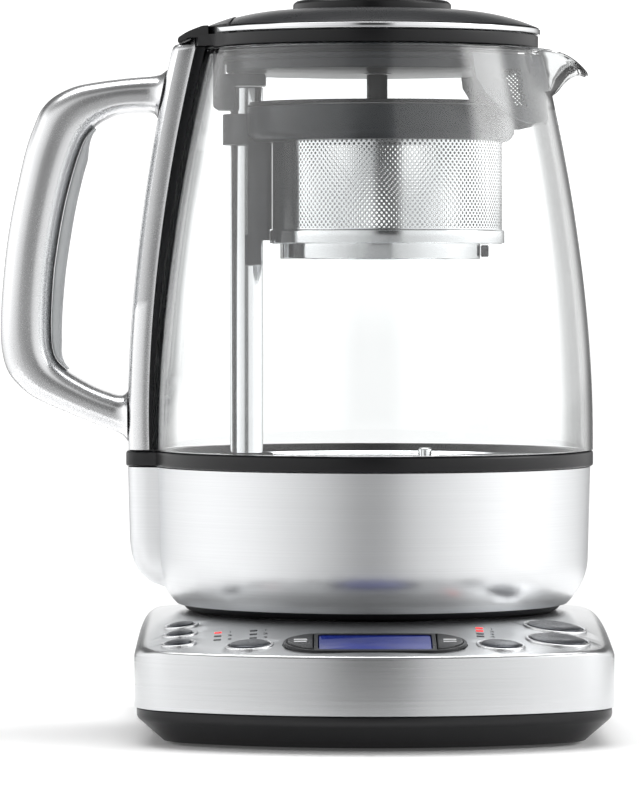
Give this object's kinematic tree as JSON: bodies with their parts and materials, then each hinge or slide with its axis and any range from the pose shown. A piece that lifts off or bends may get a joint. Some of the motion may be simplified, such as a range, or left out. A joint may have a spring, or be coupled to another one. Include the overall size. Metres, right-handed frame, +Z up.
{
  "type": "automatic tea maker",
  "caption": "Glass jug kettle on an electric power base, with a motorised tea basket that slides on a pillar, a lift-off lid, and a control panel with buttons and a display.",
  "frame": {"origin": "on the table, under the middle of the whole object's outline", "axes": "+Z up, +X towards the spout, -X towards the handle, -Y towards the control panel"},
  "size_m": [0.2144, 0.2234, 0.2574],
  "materials": {
    "brushed_steel": "brushed",
    "polished_steel": "polished",
    "satin_metal": "satin",
    "black_plastic": "matte",
    "dark_plastic": "satin",
    "slate_plastic": "satin",
    "pale_plastic": "satin",
    "button": "satin",
    "rubber": "matte",
    "glass": "clear",
    "display": "gloss",
    "board": "satin",
    "drive_metal": "machined"
  },
  "bodies": {
    "power_base": {"base_shell": "brushed_steel", "base_tub": "black_plastic", "foot_front_left": "rubber", "foot_front_right": "rubber", "foot_rear_left": "rubber", "foot_rear_right": "rubber", "control_board": "board", "power_board": "board", "base_connector": "black_plastic", "cord_gland": "rubber", "display_bezel": "dark_plastic", "display_screen": "display"},
    "swivel": {"swivel_collar": "dark_plastic"},
    "jug": {"jug_foot": "black_plastic", "jug_body": "brushed_steel", "jug_connector": "black_plastic", "heater_plate": "polished_steel", "heating_element": "drive_metal", "temperature_probe": "polished_steel", "wall_seal": "rubber", "jug_glass": "glass", "spout_filter": "slate_plastic", "pillar": "polished_steel", "pillar_seal": "rubber", "lift_motor": "drive_metal", "spine": "satin_metal", "spine_liner": "dark_plastic", "handle": "satin_metal", "grip_insert": "pale_plastic"},
    "screw": {"lead_screw": "drive_metal"},
    "carrier": {"magnet_carrier": "drive_metal"},
    "basket": {"basket_ring": "slate_plastic", "basket_wall": "brushed_steel", "basket_floor": "brushed_steel", "basket_band": "brushed_steel", "basket_bracket": "slate_plastic", "basket_tab": "slate_plastic", "bracket_magnet": "drive_metal"},
    "basket_cover": {"basket_lid": "dark_plastic", "basket_lid_stem": "black_plastic"},
    "lid": {"lid_skirt": "slate_plastic", "lid_floor": "slate_plastic", "lid_seal": "rubber", "lid_ring": "polished_steel", "lid_cap": "dark_plastic", "lid_knob": "black_plastic", "post_guide": "slate_plastic"},
    "small_key_1": {"button_small_1": "button"},
    "small_key_2": {"button_small_2": "button"},
    "small_key_3": {"button_small_3": "button"},
    "round_key_left": {"button_round_left": "button"},
    "round_key_right": {"button_round_right": "button"},
    "large_key_1": {"button_large_1": "button"},
    "large_key_2": {"button_large_2": "button"},
    "minus_key": {"button_minus": "button"},
    "plus_key": {"button_plus": "button"}
  },
  "joints": [
    {"name": "jug_swivel", "type": "hinge", "parent": "power_base", "child": "swivel", "pos_m": [0.02525, 0.01475, 0.042], "axis": [0, 0, 1], "continuous": true},
    {"name": "jug_lift", "type": "slide", "parent": "swivel", "child": "jug", "axis": [0, 0, 1], "range_m": [0, 0.07]},
    {"name": "lid_lift", "type": "slide", "parent": "jug", "child": "lid", "axis": [0, 0, 1], "range_m": [0, 0.045]},
    {"name": "basket_lift", "type": "slide", "parent": "jug", "child": "basket", "axis": [0, 0, 1], "range_m": [-0.062, 0]},
    {"name": "carrier_slide", "type": "slide", "parent": "jug", "child": "carrier", "axis": [0, 0, 1], "range_m": [-0.062, 0]},
    {"name": "screw_turn", "type": "hinge", "parent": "jug", "child": "screw", "pos_m": [-0.01955, 0.01475, 0.1], "axis": [0, 0, 1], "range_deg": [-1800, 0]},
    {"name": "basket_lid_lift", "type": "slide", "parent": "basket", "child": "basket_cover", "axis": [0, 0, 1], "range_m": [0, 0.008]},
    {"name": "press_small_1", "type": "slide", "parent": "power_base", "child": "small_key_1", "axis": [-0.1062, -0.0891, 0.9903], "range_m": [-0.001, 0], "stiffness_N_per_m": 1500},
    {"name": "press_small_2", "type": "slide", "parent": "power_base", "child": "small_key_2", "axis": [-0.0929, -0.1029, 0.9903], "range_m": [-0.001, 0], "stiffness_N_per_m": 1500},
    {"name": "press_small_3", "type": "slide", "parent": "power_base", "child": "small_key_3", "axis": [-0.0817, -0.112, 0.9903], "range_m": [-0.001, 0], "stiffness_N_per_m": 1500},
    {"name": "press_round_left", "type": "slide", "parent": "power_base", "child": "round_key_left", "axis": [-0.053, -0.1281, 0.9903], "range_m": [-0.001, 0], "stiffness_N_per_m": 1500},
    {"name": "press_round_right", "type": "slide", "parent": "power_base", "child": "round_key_right", "axis": [0.053, -0.1281, 0.9903], "range_m": [-0.001, 0], "stiffness_N_per_m": 1500},
    {"name": "press_large_1", "type": "slide", "parent": "power_base", "child": "large_key_1", "axis": [0.0987, -0.0973, 0.9903], "range_m": [-0.001, 0], "stiffness_N_per_m": 1500},
    {"name": "press_large_2", "type": "slide", "parent": "power_base", "child": "large_key_2", "axis": [0.0809, -0.1126, 0.9903], "range_m": [-0.001, 0], "stiffness_N_per_m": 1500},
    {"name": "press_minus", "type": "slide", "parent": "power_base", "child": "minus_key", "axis": [0, -0.1387, 0.9903], "range_m": [-0.001, 0], "stiffness_N_per_m": 1500},
    {"name": "press_plus", "type": "slide", "parent": "power_base", "child": "plus_key", "axis": [0, -0.1387, 0.9903], "range_m": [-0.001, 0], "stiffness_N_per_m": 1500}
  ],
  "couplings": [
    {"joint": "carrier_slide", "follows": "basket_lift", "ratio": 1},
    {"joint": "screw_turn", "follows": "basket_lift", "rad_per_m": 506.71}
  ]
}
